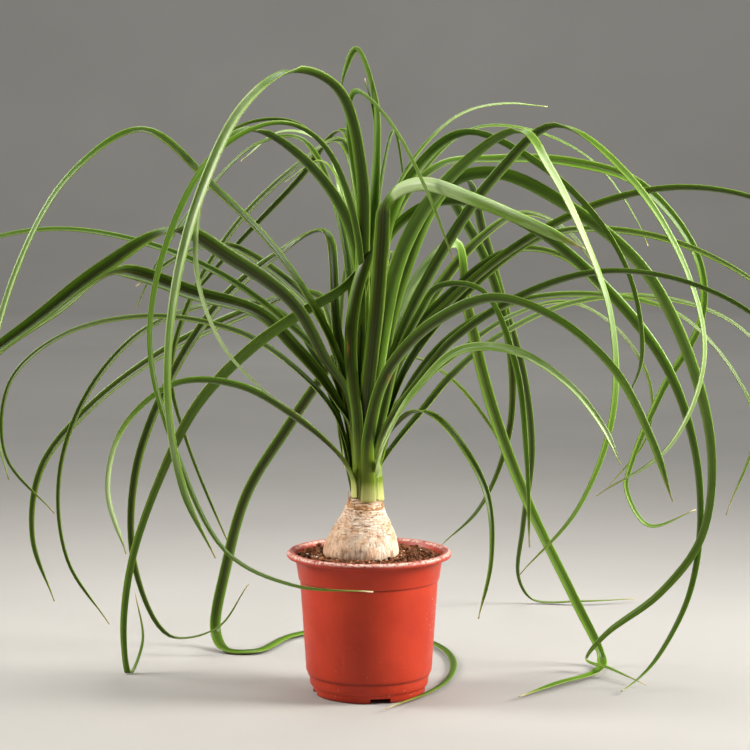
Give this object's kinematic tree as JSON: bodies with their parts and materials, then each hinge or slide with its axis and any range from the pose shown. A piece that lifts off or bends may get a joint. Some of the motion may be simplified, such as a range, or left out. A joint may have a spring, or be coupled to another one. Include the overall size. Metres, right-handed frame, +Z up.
{
  "type": "potted ponytail palm",
  "caption": "House plant with a swollen woody base and a fountain of long strap leaves, set in soil in a round tapered nursery pot.",
  "frame": {"origin": "centre of the pot's underside, on the surface that it stands on", "axes": "+Z up, -Y towards the viewer of the picture, +X to the right"},
  "size_m": [0.7123, 0.5143, 0.4701],
  "materials": {
    "pot_plastic": "worn terracotta-coloured moulded plastic, satin, with a pale mineral bloom on the rim and foot",
    "potting_soil": "crumbly dark potting soil, rough",
    "corky_bark": "tan cork bark, cracked below and ringed with leaf scars above",
    "leaf_blade": "satin green strap leaf with fine parallel veins and pale margins"
  },
  "bodies": {
    "root": {"caudex": "corky_bark", "leaf_back_arch_right": "leaf_blade", "leaf_back_dark_broad": "leaf_blade", "leaf_back_dim_droop": "leaf_blade", "leaf_back_floor_far": "leaf_blade", "leaf_back_floor_sweep_and_back_arch_left": "leaf_blade", "leaf_back_fold_fall_and_right_middle_bend": "leaf_blade", "leaf_front_broad_bright": "leaf_blade", "leaf_head": "leaf_blade", "leaf_left_back_fold": "leaf_blade", "leaf_left_behind_broad": "leaf_blade", "leaf_left_broad_front": "leaf_blade", "leaf_left_broad_middle": "leaf_blade", "leaf_left_dim_low": "leaf_blade", "leaf_left_dim_thin": "leaf_blade", "leaf_left_far_reach": "leaf_blade", "leaf_left_high_arch": "leaf_blade", "leaf_left_highlight": "leaf_blade", "leaf_left_inner_back": "leaf_blade", "leaf_left_inner_thin_and_left_steep": "leaf_blade", "leaf_left_low_bow": "leaf_blade", "leaf_right_back_bow": "leaf_blade", "leaf_right_back_reach": "leaf_blade", "leaf_right_cut_short": "leaf_blade", "leaf_right_dark_back": "leaf_blade", "leaf_right_edge_return": "leaf_blade", "leaf_right_far_reach": "leaf_blade", "leaf_right_flat_top_loop": "leaf_blade", "leaf_right_floor_fold": "leaf_blade", "leaf_right_floor_thick_and_right_broad_fold": "leaf_blade", "leaf_right_front_reach": "leaf_blade", "leaf_right_long_thin": "leaf_blade", "leaf_right_low_bright": "leaf_blade", "leaf_right_low_cut": "leaf_blade", "leaf_right_low_front": "leaf_blade", "leaf_right_round_loop": "leaf_blade", "leaf_right_upper_reach": "leaf_blade", "pot": "pot_plastic", "soil": "potting_soil"}
  },
  "joints": []
}
